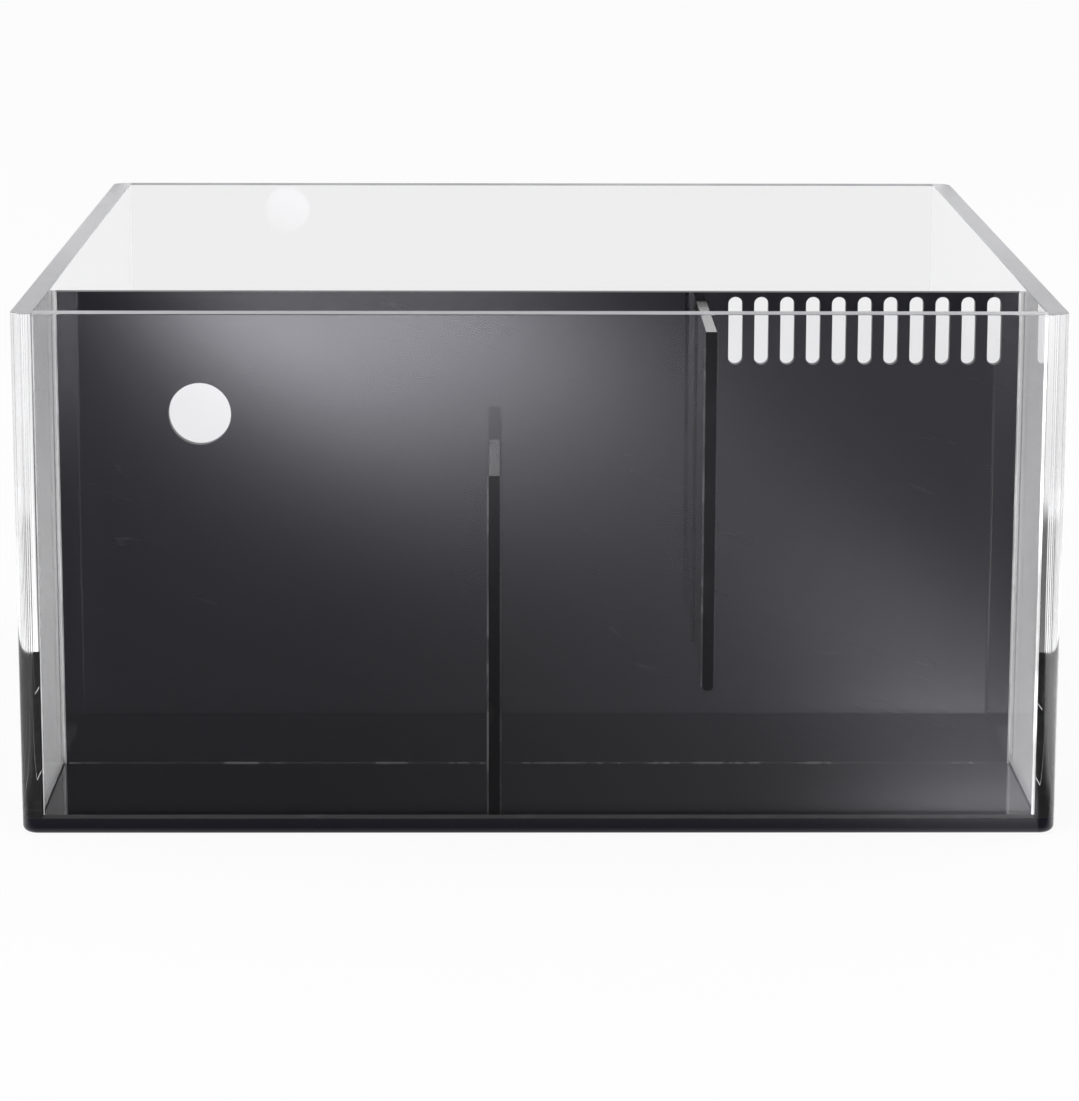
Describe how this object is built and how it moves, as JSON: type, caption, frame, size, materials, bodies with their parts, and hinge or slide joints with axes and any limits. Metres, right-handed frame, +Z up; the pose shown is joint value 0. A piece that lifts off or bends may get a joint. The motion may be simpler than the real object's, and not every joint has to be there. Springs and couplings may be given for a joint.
{
  "type": "frag tank",
  "caption": "Low open acrylic aquarium for coral frags, with a black slotted partition wall and a baffled filter chamber along its rear side.",
  "frame": {"origin": "middle of the underside of the base plate", "axes": "+Z up; +X to the right when looking at the rear (filter chamber) panel; +Y from the rear panel to the front viewing panel"},
  "size_m": [0.475, 0.5, 0.241],
  "materials": {
    "clear_acrylic": "clear cast sheet, polished faces, sawn satin top edges",
    "black_acrylic": "black cast sheet, polished faces, sawn edges",
    "cement": "cured solvent cement, cloudy and smooth"
  },
  "bodies": {
    "root": {"left_side_panel": "clear_acrylic", "right_side_panel": "clear_acrylic", "rear_panel": "clear_acrylic", "front_panel": "clear_acrylic", "base_plate": "black_acrylic", "partition_wall": "black_acrylic", "inlet_baffle": "black_acrylic", "return_baffle": "black_acrylic", "partition_bead_left": "cement", "partition_bead_right": "cement", "partition_floor_bead_left": "cement", "partition_floor_bead_right": "cement", "inlet_baffle_bead_rear_left": "cement", "inlet_baffle_bead_rear_right": "cement", "inlet_baffle_bead_partition_left": "cement", "inlet_baffle_bead_partition_right": "cement", "return_baffle_bead_rear_left": "cement", "return_baffle_bead_rear_right": "cement", "return_baffle_bead_partition_left": "cement", "return_baffle_bead_partition_right": "cement", "return_baffle_floor_bead_left": "cement", "return_baffle_floor_bead_right": "cement"}
  },
  "joints": []
}
